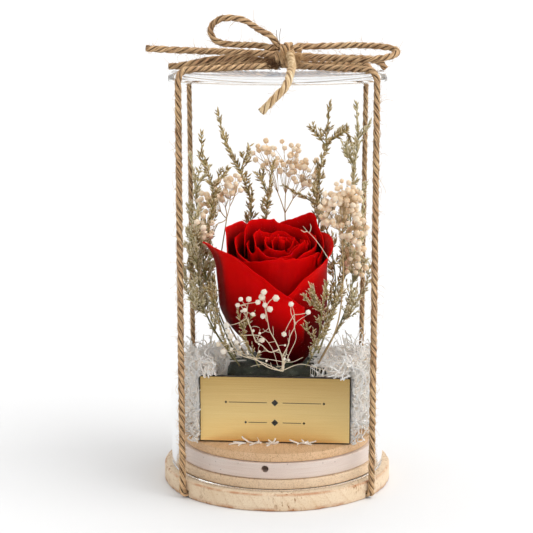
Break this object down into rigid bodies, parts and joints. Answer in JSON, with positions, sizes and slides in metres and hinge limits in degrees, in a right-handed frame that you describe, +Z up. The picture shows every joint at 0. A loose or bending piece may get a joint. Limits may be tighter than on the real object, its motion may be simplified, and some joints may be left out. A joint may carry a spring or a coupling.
{
  "type": "preserved rose in glass dome",
  "caption": "Red preserved rose with dried filler flowers and a blank gold plate inside a closed glass cylinder on a round wooden base, tied up with a jute twine bow.",
  "frame": {"origin": "centre of the base plate's underside, on the surface that it stands on", "axes": "+Z up along the glass cylinder, -Y towards the front that the gold plate faces, +X to the right seen from the front"},
  "size_m": [0.1149, 0.1139, 0.2171],
  "materials": {
    "pine": "sawn and sanded, unvarnished, darker at the cut edge",
    "brown_wood": "sawn edge, unvarnished",
    "white_paint": "thin satin white paint over wood",
    "light_wood": "sawn edge, unvarnished",
    "clear_glass": "clear, polished",
    "floral_foam": "open foam, matt",
    "white_wood_wool": "shredded, bleached",
    "gold_laminate": "brushed gold face on a black core",
    "red_petal": "velvety preserved petal",
    "green_stem": "preserved green stem",
    "dried_caspia": "dried, matt",
    "dried_gypsophila": "dried, matt",
    "jute_twine": "twisted, hairy"
  },
  "bodies": {
    "root": {"base_plate": "pine", "locating_disc": "brown_wood", "painted_drum": "white_paint", "display_disc": "light_wood", "glass_dome": "clear_glass", "floral_foam": "floral_foam", "wood_wool_nest": "white_wood_wool", "face_plate": "gold_laminate", "rose_stem": "green_stem", "rose_heart": "red_petal", "rose_petal_01": "red_petal", "rose_petal_02": "red_petal", "rose_petal_03": "red_petal", "rose_petal_04": "red_petal", "rose_petal_05": "red_petal", "rose_petal_06": "red_petal", "rose_petal_07": "red_petal", "rose_petal_08": "red_petal", "rose_petal_09": "red_petal", "rose_petal_10": "red_petal", "rose_petal_11": "red_petal", "rose_petal_12": "red_petal", "rose_petal_13": "red_petal", "rose_petal_14": "red_petal", "rose_petal_15": "red_petal", "rose_petal_16": "red_petal", "caspia_sprig_01": "dried_caspia", "caspia_sprig_02": "dried_caspia", "caspia_sprig_03": "dried_caspia", "caspia_sprig_04": "dried_caspia", "caspia_sprig_05": "dried_caspia", "caspia_sprig_06": "dried_caspia", "caspia_sprig_07": "dried_caspia", "caspia_sprig_08": "dried_caspia", "caspia_sprig_09": "dried_caspia", "caspia_sprig_10": "dried_caspia", "caspia_sprig_11": "dried_caspia", "caspia_sprig_12": "dried_caspia", "gypsophila_spray_01": "dried_gypsophila", "gypsophila_spray_02": "dried_gypsophila", "gypsophila_spray_03": "dried_gypsophila", "gypsophila_spray_04": "dried_gypsophila", "twine_band_a": "jute_twine", "twine_band_b": "jute_twine", "bow_knot": "jute_twine", "bow_loop_left": "jute_twine", "bow_loop_right": "jute_twine", "bow_tail_left": "jute_twine", "bow_tail_front": "jute_twine", "tie_end_left": "jute_twine", "tie_end_right": "jute_twine"}
  },
  "joints": []
}
